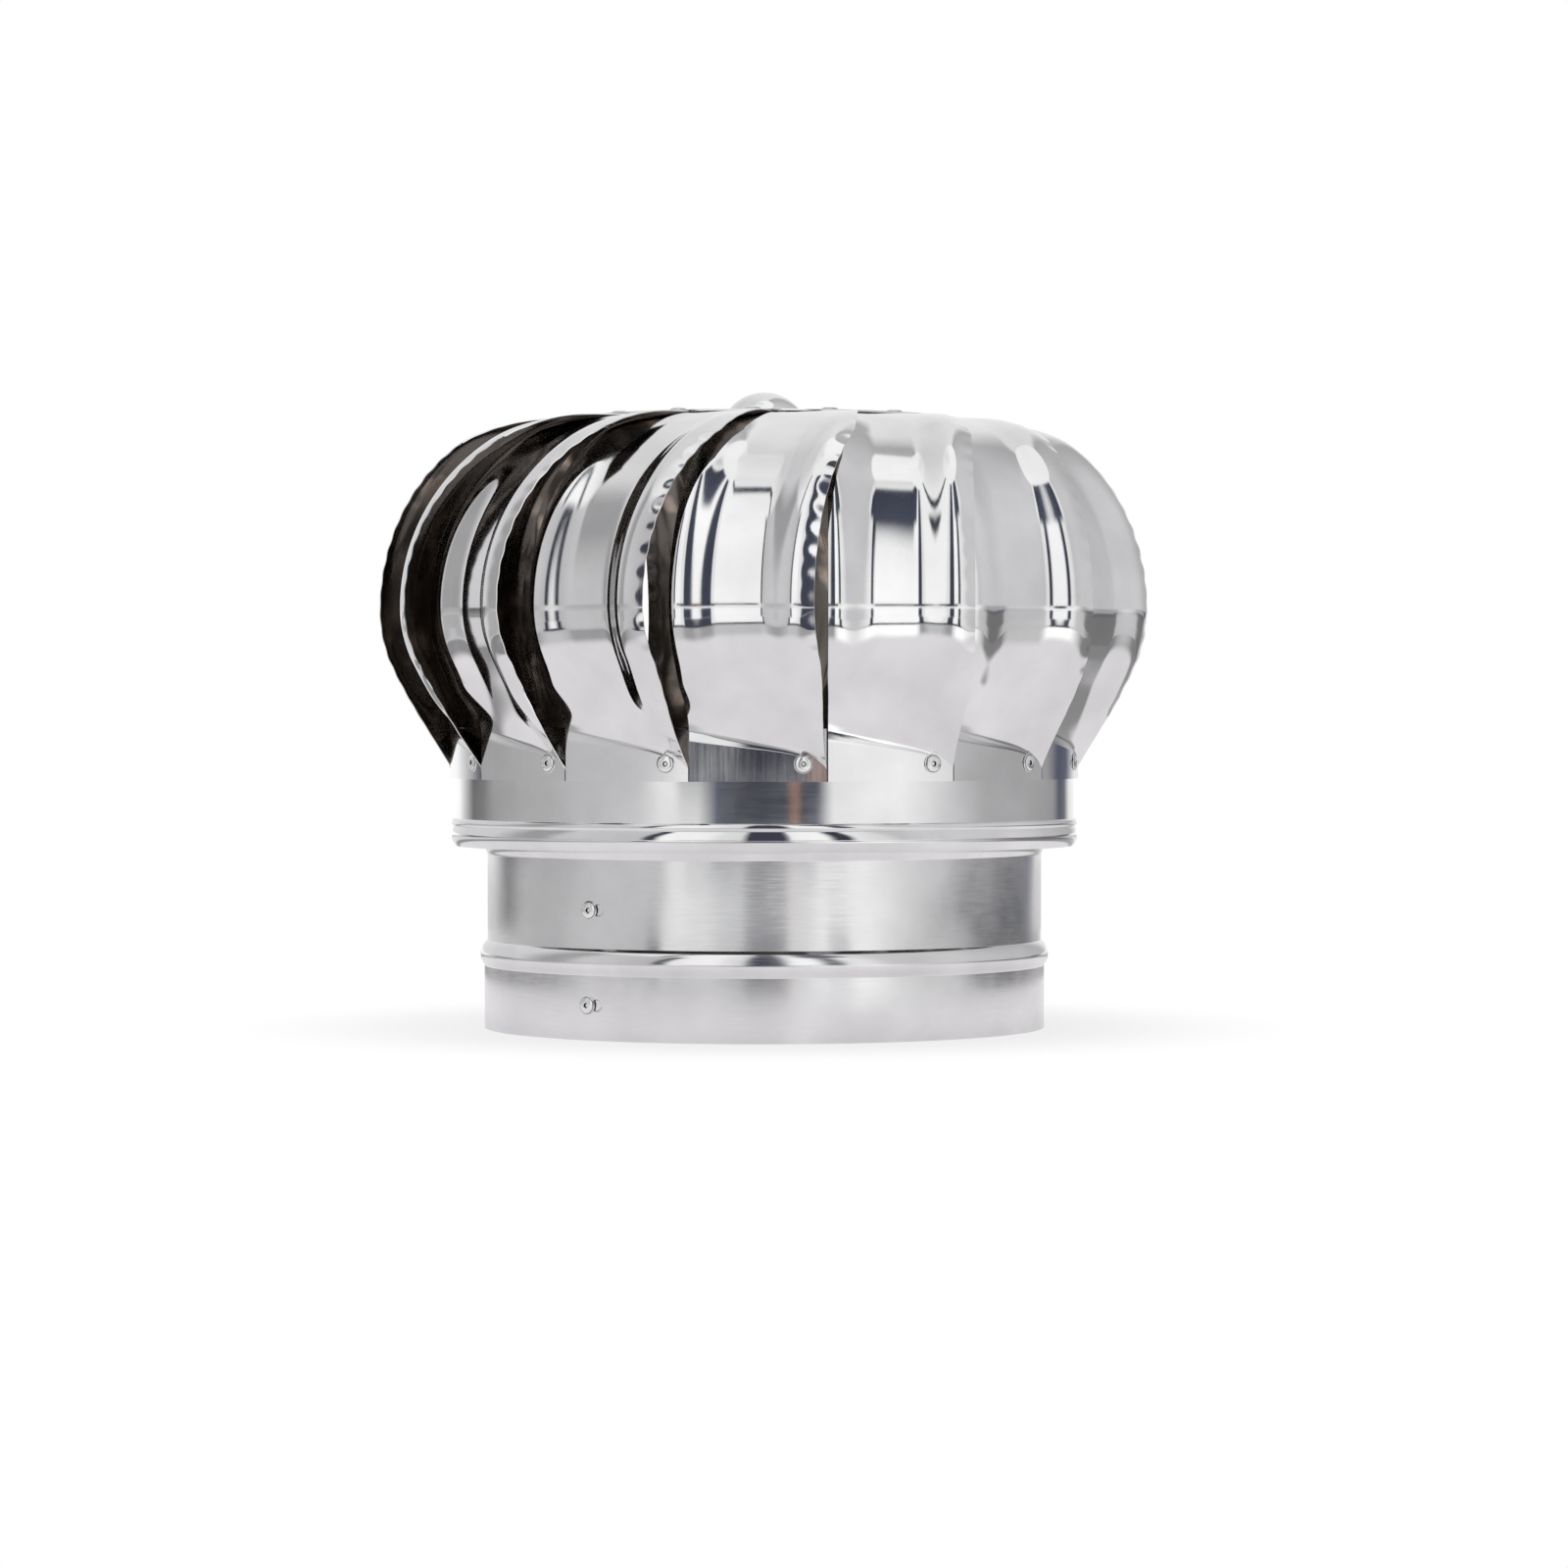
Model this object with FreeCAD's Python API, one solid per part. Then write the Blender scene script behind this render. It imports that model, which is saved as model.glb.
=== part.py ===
import FreeCAD, Part
import math
import os

# Rotating chimney cowl: a round head of curved sheet vanes turns on a fixed collar.
# Lengths are in millimetres and angles in degrees. The axis is Z, the bottom rim is at
# height zero, the front faces -Y, and an azimuth is counted from -Y towards +X.

# Collar, a rolled sheet with a stop bead and a lapped seam
sheet = 0.6
collar_radius = 150.0
collar_height = 118.0
socket_depth = 33.7
bead_width = 13.3
bead_rise = 2.1
neck_step = 1.6
band_bottom = 93.0
band_width = 10.0
band_rise = 1.2
lap_start = -45.4
lap_angle = 16.4
seam_rivet_azimuth = -37.1
seam_rivet_heights = (18.0, 66.8)
seam_slot_width = 5.6
seam_slot_reach = 8.8

# Blind rivets, all of one kind
rivet_shank = 4.8
rivet_head = 9.6
rivet_head_height = 1.6
rivet_crown = 5.4
rivet_recess = 2.65
rivet_recess_depth = 1.0
rivet_bulge = 6.8
rivet_bulge_length = 3.0
rivet_flat_tail = 0.5
rivet_clearance = 0.1
rivet_rim = 0.4
rivet_seat = 0.06

# Cross braces of flat bar in the collar, and the standing shaft on them
brace_width = 25.0
brace_thickness = 2.0
brace_drop = 22.0
brace_tab_height = 20.0
brace_azimuth = 20.0
brace_ends = 4
brace_rivet_rise = 14.0
shaft_radius = 6.0
shaft_below_brace = 22.0
washer_radius = 12.0
washer_thickness = 2.5
nut_across_flats = 19.0
nut_height = 10.0

# Sealed ball bearings
bearing_radius = 16.0
bearing_width = 10.0
inner_race_radius = 9.0
race_gap = 0.3
race_chamfer = 0.6

# Bearing housings, flanged cups
housing_wall = 2.0
housing_flange_radius = 34.0
housing_lip = 2.0
housing_lip_radius = 13.0
hub_rivet_circle = 27.0
hub_rivet_count = 4
hub_rivet_start = 45.0

# Lower ring of the head, a band with a rolled foot
ring_clearance = 16.3
ring_foot = 97.3
ring_roll_top = 108.0
ring_ridge_top = 112.1
ring_top = 160.0
ring_roll_rise = 1.3
ring_roll_return = 0.9
ring_waist_rise = 0.3

# Spider that carries the lower bearing in the ring
spider_arms = 3
spider_width = 25.0
spider_thickness = 2.0
spider_height = 146.0
spider_pad_height = 12.0

# Chords that stand for a small rolled arc
bow_chords = 4

# Vanes, one bent strip each with two broad raised ribs and a crimped outer edge
vane_count = 15
vane_azimuth = -18.9
vane_sheet = 0.5
vane_overhang = 19.4
vane_equator = 223.0
vane_lower_radius = 62.0
vane_lower_angle = 33.0
vane_upper_radius = 101.0
vane_tab = 20.0
vane_inner_edge = 15.0
vane_outer_edge = 89.6
vane_edge_lean = 0.087
vane_tip_inner_edge = 50.5
vane_tip_outer_edge = 72.0
vane_taper_reach = 134.0
rib_heights = (5.0, 3.1)
rib_centres = (18.5, 79.0)
rib_widths = (40.0, 38.0)
inner_rib_steps = (0.14, 0.36, 0.5)
outer_rib_steps = (-0.5, -0.36, -0.14)
rib_entry_share = 0.6
rib_fade_steps = 2.0
crimp_width = 9.0
crimp_rise = 0.5
crimp_pitch = 12.0
lower_arc_steps = 3
upper_arc_steps = 5

# Tabs where the vanes are riveted to the ring
tab_bottom = 133.3
tab_start = -13.0
tab_angle = 23.8
tab_rivet_azimuth = 6.7
tab_rivet_height = 142.3
tab_seat = 0.13
fold_start = 158.0
fold_slope = 9.0
fold_corner = 9.3
fold_bend = 8
sewing_tolerance = 0.001

# Top plate and hub cap
plate_margin = 9.3
plate_thickness = 1.0
plate_edge_break = 0.3
plate_bore = 13.0
cap_height = 15.0
cap_radius = 22.0
cap_sheet = 1.0

# Heights and radii that follow from the sizes above
vane_pitch = 360.0 / vane_count
ring_radius = collar_radius + ring_clearance
vane_reach = ring_radius + vane_overhang
vane_top = vane_equator + vane_upper_radius
plate_top = vane_top + plate_thickness
upper_race_bottom = vane_top - bearing_width
spider_top = spider_height + spider_thickness
lower_race_bottom = spider_height - bearing_width
bead_top = socket_depth + bead_width
neck_radius = collar_radius - neck_step
neck_inner = neck_radius - sheet
brace_height = collar_height - brace_drop
brace_rivet_height = brace_height + brace_rivet_rise
brace_top = brace_height + 2.0 * brace_thickness
brace_nut_top = brace_top + washer_thickness + nut_height
tip_reach = vane_reach - vane_upper_radius - vane_tab
quarter_turn = 90.0
Z = FreeCAD.Vector(0, 0, 1)
ORIGIN = FreeCAD.Vector(0, 0, 0)


def vec(x, y, z):
    return FreeCAD.Vector(x, y, z)


def on_circle(radius, azimuth, height):
    angle = math.radians(azimuth)
    return vec(radius * math.sin(angle), -radius * math.cos(angle), height)


def turned(shape, azimuth):
    copy = shape.copy()
    copy.rotate(ORIGIN, Z, azimuth)
    return copy


def bowed(a, middle, b):
    """Points along the arc through three points, as many as its chords need."""
    bow = Part.Arc(vec(a[0], 0, a[1]), vec(middle[0], 0, middle[1]), vec(b[0], 0, b[1])).toShape()
    return [(point.x, point.z) for point in bow.discretize(bow_chords + 1)]


def turned_profile(points, start=0.0, angle=360.0):
    """Revolves a closed outline of radius and height points about the axis."""
    outline = Part.makePolygon([on_circle(radius, start, height) for radius, height in points + points[:1]])
    return Part.Face(outline).revolve(ORIGIN, Z, angle)


def rolled_sheet(points, thickness, start=0.0, angle=360.0):
    """A rolled wall whose outer face follows the points."""
    inner = [(radius - thickness, height) for radius, height in reversed(points)]
    return turned_profile(points + inner, start, angle)


def ring_of(inner, outer, bottom, top):
    return turned_profile([(inner, bottom), (outer, bottom), (outer, top), (inner, top)])


def cylinder(radius, bottom, top):
    return Part.makeCylinder(radius, top - bottom, vec(0, 0, bottom))


def flat_bar(width, start, end, bottom, top):
    return Part.makeBox(end - start, width, top - bottom, vec(start, -width / 2.0, bottom))


def copies(shape, count):
    return [turned(shape, 360.0 / count * index) for index in range(count)]


def export(name, shape):
    shape.exportStep("parts/" + name + ".step")


# Rivets and their holes

def rivet(grip, bulge_length=rivet_bulge_length):
    """A set blind rivet on Z: head above height zero, bulge below the grip."""
    head = rivet_head / 2.0
    shank = rivet_shank / 2.0
    bulge = rivet_bulge / 2.0
    recess = rivet_recess / 2.0
    floor = rivet_head_height - rivet_recess_depth
    under = -grip - rivet_seat
    tail = under - bulge_length
    points = [(0, floor), (recess, floor), (recess, rivet_head_height)]
    points += [(rivet_crown / 2.0, rivet_head_height), (head, rivet_rim), (head, 0), (shank, 0)]
    points += [(shank, under), (bulge, under), (bulge, tail), (0, tail)]
    return turned_profile(points)


def laid_radially(shape, radius, azimuth, height):
    """Turns a piece on Z to point outward, with its zero level at the radius."""
    copy = shape.copy()
    copy.rotate(ORIGIN, vec(1, 0, 0), quarter_turn)
    copy.translate(vec(0, -radius, height))
    return turned(copy, azimuth)


def laid_flat(shape, radius, azimuth, height):
    copy = shape.copy()
    copy.translate(on_circle(radius, azimuth, height))
    return copy


def rivet_hole():
    reach = rivet_head
    return Part.makeCylinder(rivet_shank / 2.0 + rivet_clearance, 2.0 * reach, vec(0, 0, -reach))


def radial_hole(radius, azimuth, height):
    return laid_radially(rivet_hole(), radius, azimuth, height)


def flat_hole(radius, azimuth, height):
    return laid_flat(rivet_hole(), radius, azimuth, height)


# Fixed collar with its braces and shaft

def collar_wall(inset, start=0.0, angle=360.0):
    """The rolled profile: socket, stop bead, neck and upper band."""
    outer = collar_radius - inset
    neck = neck_radius - inset
    band_top = band_bottom + band_width
    bead_middle = (outer + bead_rise, socket_depth + bead_width / 2.0)
    band_middle = (neck + band_rise, band_bottom + band_width / 2.0)
    points = [(outer, 0)] + bowed((outer, socket_depth), bead_middle, (neck, bead_top))
    points += bowed((neck, band_bottom), band_middle, (neck, band_top))
    points.append((neck, collar_height))
    return rolled_sheet(points, sheet, start, angle)


def brace_azimuths():
    return [brace_azimuth + 360.0 / brace_ends * index for index in range(brace_ends)]


def seam_rivet_radius(height):
    if height < socket_depth:
        return collar_radius + sheet
    return neck_radius + sheet


def seam_slot(height):
    """A slot through the outer layer of the lap, from its rivet towards the wall."""
    half = seam_slot_width / 2.0
    straight = seam_slot_reach - half
    depth = seam_slot_width
    outside = seam_rivet_radius(height)
    slot = Part.makeBox(straight, seam_slot_width, 2.0 * depth, vec(0, -half, -depth))
    end = Part.makeCylinder(half, 2.0 * depth, vec(straight, 0, -depth))
    slot = laid_radially(slot.fuse(end), outside, seam_rivet_azimuth, height)
    return slot.common(ring_of(outside - sheet, outside + sheet, height - depth, height + depth))


def make_collar():
    """The rolled wall, with a second layer outside it along the lap."""
    lap = collar_wall(-sheet, lap_start, lap_angle)
    collar = collar_wall(0.0).fuse(lap)
    for height in seam_rivet_heights:
        collar = collar.cut(seam_slot(height))
        collar = collar.cut(radial_hole(collar_radius, seam_rivet_azimuth, height))
    for azimuth in brace_azimuths():
        collar = collar.cut(radial_hole(neck_radius, azimuth, brace_rivet_height))
    return collar


def make_seam_rivets():
    """Their tails are set flat, so that the pipe slides past them in the socket."""
    joint = rivet(2.0 * sheet, rivet_flat_tail)
    rivets = []
    for height in seam_rivet_heights:
        rivets.append(laid_radially(joint, seam_rivet_radius(height), seam_rivet_azimuth, height))
    return Part.makeCompound(rivets)


def make_brace(bottom, azimuth):
    """A bar across the collar, its ends turned up against the wall."""
    top = bottom + brace_thickness
    tab_top = brace_height + brace_tab_height
    bar = flat_bar(brace_width, -neck_inner, neck_inner, bottom, top)
    bar = bar.common(cylinder(neck_inner, bottom, top))
    wall = ring_of(neck_inner - brace_thickness, neck_inner, bottom, tab_top)
    tabs = wall.common(flat_bar(brace_width, -neck_inner, neck_inner, bottom, tab_top))
    brace = bar.fuse(tabs).cut(cylinder(shaft_radius + rivet_clearance, bottom, top))
    for side in (quarter_turn, 3.0 * quarter_turn):
        brace = brace.cut(radial_hole(neck_inner, side, brace_rivet_height))
    return turned(brace.removeSplitter(), azimuth - quarter_turn)


def make_brace_rivets():
    joint = rivet(sheet + brace_thickness)
    rivets = []
    for azimuth in brace_azimuths():
        rivets.append(laid_radially(joint, neck_radius, azimuth, brace_rivet_height))
    return Part.makeCompound(rivets)


def make_shaft():
    bottom = brace_height - shaft_below_brace
    top = vane_top + nut_height + rivet_rim
    return cylinder(shaft_radius, bottom, top)


def make_nut(bottom):
    corner = nut_across_flats / math.sqrt(3.0)
    points = [on_circle(corner, 60.0 * index, bottom) for index in range(6)]
    hexagon = Part.Face(Part.makePolygon(points + points[:1]))
    nut = hexagon.extrude(vec(0, 0, nut_height))
    return nut.cut(cylinder(shaft_radius, bottom, bottom + nut_height))


def make_washer(bottom):
    return ring_of(shaft_radius, washer_radius, bottom, bottom + washer_thickness)


def make_inner_race(bottom):
    return ring_of(shaft_radius, inner_race_radius, bottom, bottom + bearing_width)


def make_outer_race(bottom):
    """Outer race with its seals, chamfered at both ends."""
    inner = inner_race_radius + race_gap
    top = bottom + bearing_width
    cut = bearing_radius - race_chamfer
    points = [(inner, bottom), (cut, bottom), (bearing_radius, bottom + race_chamfer)]
    points += [(bearing_radius, top - race_chamfer), (cut, top), (inner, top)]
    return turned_profile(points)


# Turning head

def make_ring():
    """The band, its ridge and its rolled foot, as one rolled sheet."""
    crest = ring_radius + ring_roll_rise
    waist = (ring_radius + ring_waist_rise, ring_roll_top)
    foot = (ring_radius - ring_roll_return, ring_foot)
    ridge_middle = (crest, (ring_ridge_top + ring_roll_top) / 2.0)
    roll_middle = (crest, (ring_roll_top + ring_foot) / 2.0)
    ridge = bowed((ring_radius, ring_ridge_top), ridge_middle, waist)
    roll = bowed(waist, roll_middle, foot)
    ring = rolled_sheet([(ring_radius, ring_top)] + ridge + roll[1:], sheet)
    for index in range(vane_count):
        ring = ring.cut(radial_hole(ring_radius, tab_rivet_azimuth + vane_pitch * index, tab_rivet_height))
    return ring


def make_spider():
    """A hub plate with arms, each arm's end turned up against the ring."""
    reach = ring_radius - sheet
    spider = cylinder(housing_flange_radius, spider_height, spider_top)
    pad_top = spider_top + spider_pad_height
    for index in range(spider_arms):
        azimuth = tab_rivet_azimuth + vane_pitch / 2.0 + 360.0 / spider_arms * index
        arm = flat_bar(spider_width, 0, reach, spider_height, spider_top)
        arm = arm.common(cylinder(reach, spider_height, spider_top))
        wall = ring_of(reach - spider_thickness, reach, spider_height, pad_top)
        pad = wall.common(flat_bar(spider_width, 0, reach, spider_height, pad_top))
        spider = spider.fuse(turned(arm.fuse(pad), azimuth - quarter_turn))
    spider = spider.cut(cylinder(housing_lip_radius, spider_height, spider_top))
    for index in range(hub_rivet_count):
        spider = spider.cut(flat_hole(hub_rivet_circle, hub_rivet_azimuth(index), spider_height))
    return spider.removeSplitter()


def hub_rivet_azimuth(index):
    return hub_rivet_start + 360.0 / hub_rivet_count * index


def make_housing(top):
    """A flanged cup that hangs below a plate and holds a bearing up to it."""
    cup = bearing_radius + housing_wall
    bottom = top - bearing_width - housing_lip
    flange_bottom = top - housing_wall
    points = [(housing_lip_radius, bottom), (cup, bottom), (cup, flange_bottom)]
    points += [(housing_flange_radius, flange_bottom), (housing_flange_radius, top), (bearing_radius, top)]
    points += [(bearing_radius, top - bearing_width), (housing_lip_radius, top - bearing_width)]
    housing = turned_profile(points)
    for index in range(hub_rivet_count):
        housing = housing.cut(flat_hole(hub_rivet_circle, hub_rivet_azimuth(index), top))
    return housing


def make_hub_rivets(top, grip):
    joint = rivet(grip)
    rivets = []
    for index in range(hub_rivet_count):
        rivets.append(laid_flat(joint, hub_rivet_circle, hub_rivet_azimuth(index), top))
    return Part.makeCompound(rivets)


def make_plate():
    """The flat top disc that the vane tips are riveted under."""
    radius, azimuth = tip_rivet_place()
    rim = radius + plate_margin
    points = [(plate_bore, vane_top), (rim, vane_top), (rim, plate_top - plate_edge_break)]
    points += [(rim - plate_edge_break, plate_top), (plate_bore, plate_top)]
    plate = turned_profile(points)
    for index in range(hub_rivet_count):
        plate = plate.cut(flat_hole(hub_rivet_circle, hub_rivet_azimuth(index), plate_top))
    for index in range(vane_count):
        plate = plate.cut(flat_hole(radius, azimuth + vane_pitch * index, plate_top))
    return plate


def dome_point(radius, centre, reach):
    return (reach, centre + math.sqrt(radius ** 2 - reach ** 2))


def make_cap():
    """A pressed dome over the shaft's end, with a flange on the plate."""
    flange = plate_top + cap_sheet
    crown = plate_top + cap_height
    rise = crown - flange
    outer = (cap_radius ** 2 + rise ** 2) / (2.0 * rise)
    centre = crown - outer
    inner = outer - cap_sheet
    mouth = math.sqrt(inner ** 2 - (plate_top - centre) ** 2)
    dome = bowed((0, crown), dome_point(outer, centre, cap_radius / 2.0), (cap_radius, flange))
    hollow = bowed((mouth, plate_top), dome_point(inner, centre, mouth / 2.0), (0, crown - cap_sheet))
    brim = [(housing_flange_radius, flange), (housing_flange_radius, plate_top)]
    cap = turned_profile(dome + brim + hollow)
    for index in range(hub_rivet_count):
        cap = cap.cut(flat_hole(hub_rivet_circle, hub_rivet_azimuth(index), flange))
    return cap


# Vane: one strip that rises from its tab on the ring, bows out and comes in to the plate.
# It is drawn with its outward direction on -Y and its crimped edge towards +X.

def rib_rise(across):
    """Height of the two long rounded ribs at a place across the strip."""
    rise = 0.0
    for centre, width, height in zip(rib_centres, rib_widths, rib_heights):
        turn = math.pi * (across - centre) / width
        if abs(turn) < math.pi / 2.0:
            rise += height * math.cos(turn) ** 2
    return rise


def strip_columns():
    """Places across the strip as shares of its width, with the height of the ribs there."""
    inner_centre, outer_centre = rib_centres
    inner_width, outer_width = rib_widths
    places = [vane_inner_edge]
    places += [inner_centre + inner_width * step for step in inner_rib_steps]
    outer_places = [outer_centre + outer_width * step for step in outer_rib_steps]
    places.append((places[-1] + outer_places[0]) / 2.0)
    places += outer_places
    places.append(vane_outer_edge - crimp_width)
    width = vane_outer_edge - vane_inner_edge
    return [((place - vane_inner_edge) / width, rib_rise(place)) for place in places]


def fold_height(share):
    """Height of the fold between tab and vane, which drops away at the outer corner."""
    return fold_start - fold_slope * share - fold_corner * share ** fold_bend


def ring_point(share, height, inset):
    radius = ring_radius + tab_seat + vane_sheet - inset
    return on_circle(radius, tab_start - vane_azimuth + tab_angle * share, height)


def edge_places(reach):
    """Both edges of the strip, which lean and then draw together towards the plate."""
    share = max(0.0, (vane_taper_reach - reach) / (vane_taper_reach - tip_reach))
    lean = vane_edge_lean * (vane_reach - reach)
    inner = (vane_inner_edge + lean) * (1.0 - share) + vane_tip_inner_edge * share
    outer = (vane_outer_edge + lean) * (1.0 - share) + vane_tip_outer_edge * share
    return inner, outer


def strip_stations():
    """Along the bend: reach, height, direction of the outer face and share of rib height."""
    stations = []
    lower_centre = vane_reach - vane_lower_radius
    upper_centre = vane_reach - vane_upper_radius
    for step in range(lower_arc_steps + 1):
        angle = math.radians(-vane_lower_angle * (1.0 - step / lower_arc_steps))
        rib = rib_entry_share if step == 0 else 1.0
        reach = lower_centre + vane_lower_radius * math.cos(angle)
        height = vane_equator + vane_lower_radius * math.sin(angle)
        stations.append((reach, height, angle, rib))
    for step in range(1, upper_arc_steps + 1):
        angle = math.radians(quarter_turn * step / upper_arc_steps)
        rib = min(1.0, (upper_arc_steps - step) / rib_fade_steps)
        reach = upper_centre + vane_upper_radius * math.cos(angle)
        height = vane_equator + vane_upper_radius * math.sin(angle)
        stations.append((reach, height, angle, rib))
    stations.append((tip_reach, vane_top, math.radians(quarter_turn), 0.0))
    return stations


def strip_point(station, share, rise, inset):
    reach, height, angle, rib = station
    inner, outer = edge_places(reach)
    lift = rise * rib - inset
    across = inner + share * (outer - inner)
    return vec(across, -(reach + lift * math.cos(angle)), height + lift * math.sin(angle))


def strip_row(row, share, rise, inset):
    """A point of row 0, the tab's lower edge, row 1, the fold, or a row further up the bend."""
    if row == 0:
        return ring_point(share, tab_bottom, inset)
    if row == 1:
        return ring_point(share, fold_height(share), inset)
    stations = strip_stations()
    if row > 2:
        return strip_point(stations[row - 2], share, rise, inset)
    bend = strip_point(stations[0], share, rise, inset)
    chord = (strip_point(stations[1], share, rise, inset) + strip_row(1, share, rise, inset)) * 0.5
    place = chord + (bend - chord) * share
    return vec(chord.x, place.y, place.z)


def crimp_points(row, inset):
    """The wavy edge from one row to the next, both ends included."""
    edge_rise = rib_rise(vane_outer_edge)
    start = strip_row(row, 1.0, edge_rise, inset)
    end = strip_row(row + 1, 1.0, edge_rise, inset)
    if row < 2:
        return [start, end]
    stations = strip_stations()
    rise = crimp_rise * (stations[row - 2][3] + stations[row - 1][3]) / 2.0
    nominal = strip_row(row, 1.0, 0.0, 0.0).distanceToPoint(strip_row(row + 1, 1.0, 0.0, 0.0))
    waves = max(1, round(nominal / crimp_pitch))
    outward = strip_row(row, 1.0, 0.0, 0.0) - strip_row(row, 1.0, 0.0, vane_sheet)
    outward.normalize()
    points = [start]
    for quarter in range(1, 4 * waves, 2):
        side = 1.0 if quarter % 4 == 1 else -1.0
        points.append(start + (end - start) * (quarter / (4.0 * waves)) + outward * (side * rise))
    points.append(end)
    return points


def fan(low, high, edge):
    """Triangles between a straight side and a wavy one."""
    half = len(edge) // 2
    triangles = []
    for index in range(len(edge) - 1):
        anchor = low if index < half else high
        triangles.append((anchor, edge[index], edge[index + 1]))
    triangles.append((low, edge[half], high))
    return triangles


def quad(a, b, c, d):
    return [(a, b, c), (a, c, d)]


def skin(inset):
    """One face of the vane as triangles, and its border from row to row."""
    columns = strip_columns()
    last_row = len(strip_stations()) + 1
    rows = []
    for row in range(last_row + 1):
        rows.append([strip_row(row, share, rise, inset) for share, rise in columns])
    triangles = []
    edges = []
    for row in range(last_row):
        low = rows[row]
        high = rows[row + 1]
        for column in range(len(columns) - 1):
            triangles += quad(low[column], low[column + 1], high[column + 1], high[column])
        wave = crimp_points(row, inset)
        triangles += fan(low[-1], high[-1], wave)
        edges += wave[:-1]
    edges.append(strip_row(last_row, 1.0, rib_rise(vane_outer_edge), inset))
    left = [row[0] for row in rows]
    border = rows[0] + edges + rows[-1][::-1] + left[::-1][1:-1]
    return triangles, border


def solid_of(triangles):
    places = {}
    corners = []
    facets = []
    for triangle in triangles:
        facet = []
        for point in triangle:
            key = (round(point.x, 5), round(point.y, 5), round(point.z, 5))
            if key not in places:
                places[key] = len(corners)
                corners.append(key)
            facet.append(places[key])
        facets.append(tuple(facet))
    shell = Part.Shape()
    shell.makeShapeFromMesh((corners, facets), sewing_tolerance)
    return Part.makeSolid(shell).removeSplitter()


def tip_rivet_place():
    """Radius and azimuth of the rivet through the middle of a vane's tip."""
    reach = tip_reach + vane_tab / 2.0
    inner, outer = edge_places(reach)
    across = (inner + outer) / 2.0
    radius = math.hypot(reach, across)
    return radius, vane_azimuth + math.degrees(math.atan2(across, reach))


def make_vane():
    outer, outer_border = skin(0.0)
    inner, inner_border = skin(vane_sheet)
    triangles = outer + [(a, c, b) for a, b, c in inner]
    count = len(outer_border)
    for index in range(count):
        after = (index + 1) % count
        triangles += quad(outer_border[after], outer_border[index], inner_border[index], inner_border[after])
    vane = turned(solid_of(triangles), vane_azimuth)
    radius, azimuth = tip_rivet_place()
    vane = vane.cut(flat_hole(radius, azimuth, vane_top))
    return vane.cut(radial_hole(ring_radius, tab_rivet_azimuth, tab_rivet_height))


def make_lower_rivets():
    joint = rivet(sheet + tab_seat + vane_sheet)
    radius = ring_radius + tab_seat + vane_sheet
    joint = laid_radially(joint, radius, tab_rivet_azimuth, tab_rivet_height)
    return Part.makeCompound(copies(joint, vane_count))


def make_upper_rivets():
    radius, azimuth = tip_rivet_place()
    joint = laid_flat(rivet(plate_thickness + vane_sheet), radius, azimuth, plate_top)
    return Part.makeCompound(copies(joint, vane_count))


def export_base():
    export("base_collar", make_collar())
    export("collar_seam_rivets", make_seam_rivets())
    export("lower_brace", make_brace(brace_height, brace_azimuth))
    export("upper_brace", make_brace(brace_height + brace_thickness, brace_azimuth + quarter_turn))
    export("brace_rivets", make_brace_rivets())
    export("shaft", make_shaft())
    export("brace_washer_below", make_washer(brace_height - washer_thickness))
    export("brace_washer_above", make_washer(brace_top))
    export("brace_nut_below", make_nut(brace_height - washer_thickness - nut_height))
    export("brace_nut_above", make_nut(brace_nut_top - nut_height))
    export("shaft_spacer", ring_of(shaft_radius, inner_race_radius, brace_nut_top, lower_race_bottom))
    export("lower_bearing_inner_race", make_inner_race(lower_race_bottom))
    export("upper_bearing_inner_race", make_inner_race(upper_race_bottom))
    export("race_nut_below", make_nut(upper_race_bottom - nut_height))
    export("race_nut_above", make_nut(vane_top))


def export_head():
    export("lower_ring", make_ring())
    export("spider", make_spider())
    export("lower_bearing_housing", make_housing(spider_height))
    export("lower_bearing_outer_race", make_outer_race(lower_race_bottom))
    export("lower_housing_rivets", make_hub_rivets(spider_top, spider_thickness + housing_wall))
    export("upper_bearing_housing", make_housing(vane_top))
    export("upper_bearing_outer_race", make_outer_race(upper_race_bottom))
    export("top_plate", make_plate())
    export("hub_cap", make_cap())
    hub_grip = cap_sheet + plate_thickness + housing_wall
    export("hub_rivets", make_hub_rivets(plate_top + cap_sheet, hub_grip))
    vanes = copies(make_vane(), vane_count)
    for index, vane in enumerate(vanes):
        export("vane_%02d" % (index + 1), vane)
    export("vane_lower_rivets", make_lower_rivets())
    export("vane_upper_rivets", make_upper_rivets())


os.makedirs("parts", exist_ok=True)
export_base()
export_head()
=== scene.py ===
import math

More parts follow.
